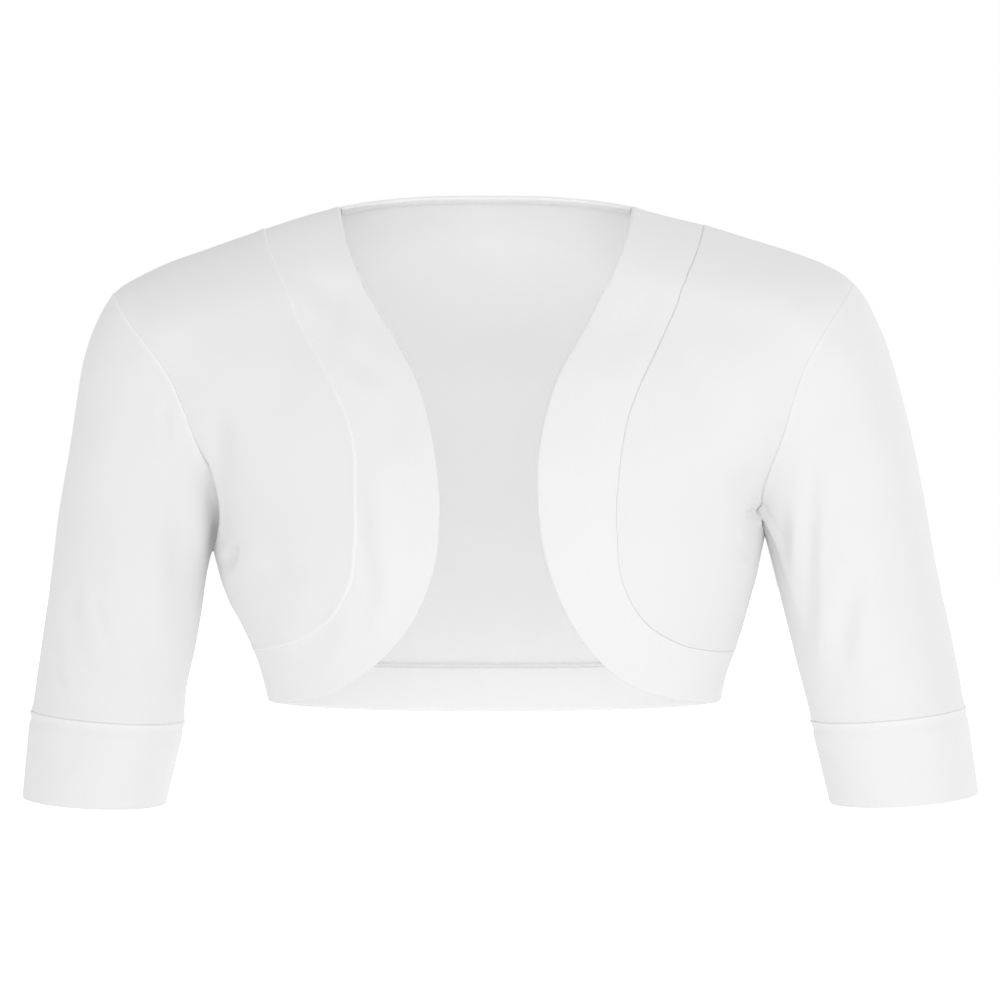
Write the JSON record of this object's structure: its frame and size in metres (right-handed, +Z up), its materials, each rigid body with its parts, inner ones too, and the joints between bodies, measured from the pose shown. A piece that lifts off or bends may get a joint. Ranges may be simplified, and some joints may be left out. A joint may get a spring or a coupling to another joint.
{
  "type": "bolero jacket",
  "caption": "Short open bolero jacket in white jersey, with half sleeves, wide rounded front bands and folded cuffs, in its hollow worn form.",
  "frame": {"origin": "midway between the shoulders, on the plane of the shoulder and side seams, at about the height of the middle of each shoulder, where the wearer's shoulders hold the jacket up", "axes": "+Z up, the front faces -Y, the wearer's left sleeve is at +X"},
  "size_m": [0.5459, 0.1959, 0.3506],
  "materials": {
    "jersey": "single layer of fine white knit jersey, matt with a faint sheen",
    "folded_jersey": "two layers of fine white knit jersey, matt with fine upright ribs"
  },
  "bodies": {
    "root": {"back": "jersey", "back_hem": "folded_jersey", "neck_hem": "jersey", "front_right": "jersey", "front_left": "jersey", "band_right": "folded_jersey", "band_left": "folded_jersey", "sleeve_right": "jersey", "sleeve_left": "jersey", "cuff_right": "folded_jersey", "cuff_left": "folded_jersey"}
  },
  "joints": []
}
